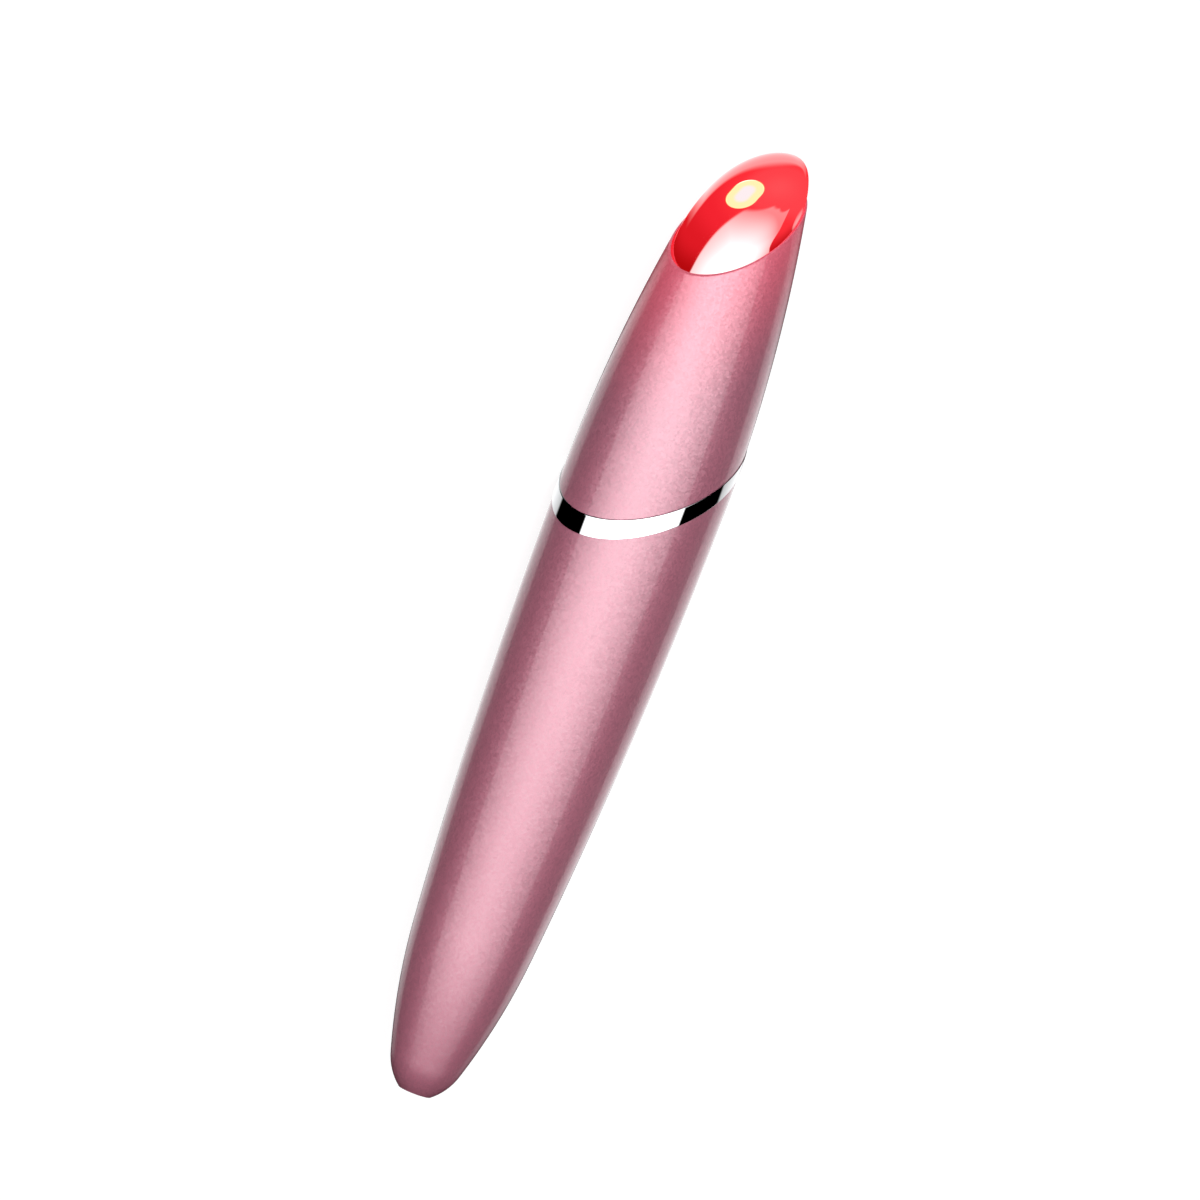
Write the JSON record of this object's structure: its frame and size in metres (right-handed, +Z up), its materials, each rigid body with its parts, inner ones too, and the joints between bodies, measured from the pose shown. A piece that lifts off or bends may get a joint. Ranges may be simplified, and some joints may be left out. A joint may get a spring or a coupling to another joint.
{
  "type": "heated eye massager wand",
  "caption": "Slim cigar-shaped heated eye massager wand with an oblique plated trim ring, a slanted lit massage head, a push button and a charging socket.",
  "frame": {"origin": "centre of the footprint of the wand lying on its side, at the surface it lies on", "axes": "+X along the wand from the tip to the tail, +Y toward the push button and away from the slanted massage face, +Z up"},
  "size_m": [0.1324, 0.0219, 0.022],
  "materials": {
    "pearl_shell": "pearl pink metallic painted ABS, satin gloss",
    "plated_trim": "chrome plated ABS, mirror; weighed as the ABS that it is",
    "lit_head": "half-mirror metallised polycarbonate, lit red from inside",
    "clear_window": "clear optical polycarbonate, lit warm white",
    "silicone": "moulded silicone",
    "moulded_abs": "moulded ABS, as moulded",
    "spreader_alu": "stamped aluminium",
    "chip_black": "moulded epoxy",
    "board_fr4": "solder-masked glass epoxy board",
    "led_white": "white chip package",
    "motor_steel": "drawn steel",
    "motor_nylon": "moulded nylon",
    "magnet": "sintered magnet",
    "copper_coil": "enamelled copper winding",
    "bronze": "sintered bronze",
    "damper_rubber": "moulded rubber",
    "tungsten": "sintered tungsten alloy",
    "cell_wrap": "heat-shrunk film over a steel can",
    "fish_paper": "die-cut insulating paper",
    "nickel": "nickel strip",
    "contact_gold": "gold flashed spring brass",
    "wire_pvc": "soft PVC insulation"
  },
  "bodies": {
    "wand": {"front_shell": "pearl_shell", "rear_shell": "pearl_shell", "trim_ring": "plated_trim", "massage_head": "lit_head", "light_window": "clear_window", "head_gasket": "silicone", "head_carrier": "moulded_abs", "heater_plate": "spreader_alu", "thermistor": "chip_black", "led_board": "board_fr4", "led_chips": "led_white", "head_leads": "wire_pvc", "heater_leads": "wire_pvc", "motor_can": "motor_steel", "motor_end_cap": "motor_nylon", "motor_magnet": "magnet", "motor_bushes": "bronze", "motor_sleeve": "damper_rubber", "motor_leads": "wire_pvc", "chassis": "moulded_abs", "board_screws": "motor_steel", "main_board": "board_fr4", "board_components": "chip_black", "tact_switch": "chip_black", "button_seal": "silicone", "cell": "cell_wrap", "cell_insulators": "fish_paper", "cell_tabs": "nickel", "cell_leads": "wire_pvc", "jack_body": "chip_black", "jack_sleeve": "contact_gold", "jack_contacts": "contact_gold", "jack_leads": "wire_pvc"},
    "button": {"button_cap": "plated_trim", "switch_plunger": "motor_nylon"},
    "rotor": {"motor_shaft": "motor_steel", "rotor_coil": "copper_coil", "eccentric_weight": "tungsten"}
  },
  "joints": [
    {"name": "button_press", "type": "slide", "parent": "wand", "child": "button", "axis": [0, -1, 0], "range_m": [0, 0.0004], "stiffness_N_per_m": 800},
    {"name": "rotor_spin", "type": "hinge", "parent": "wand", "child": "rotor", "pos_m": [-0.0265, 0, 0.011], "axis": [1, 0, 0], "continuous": true}
  ]
}
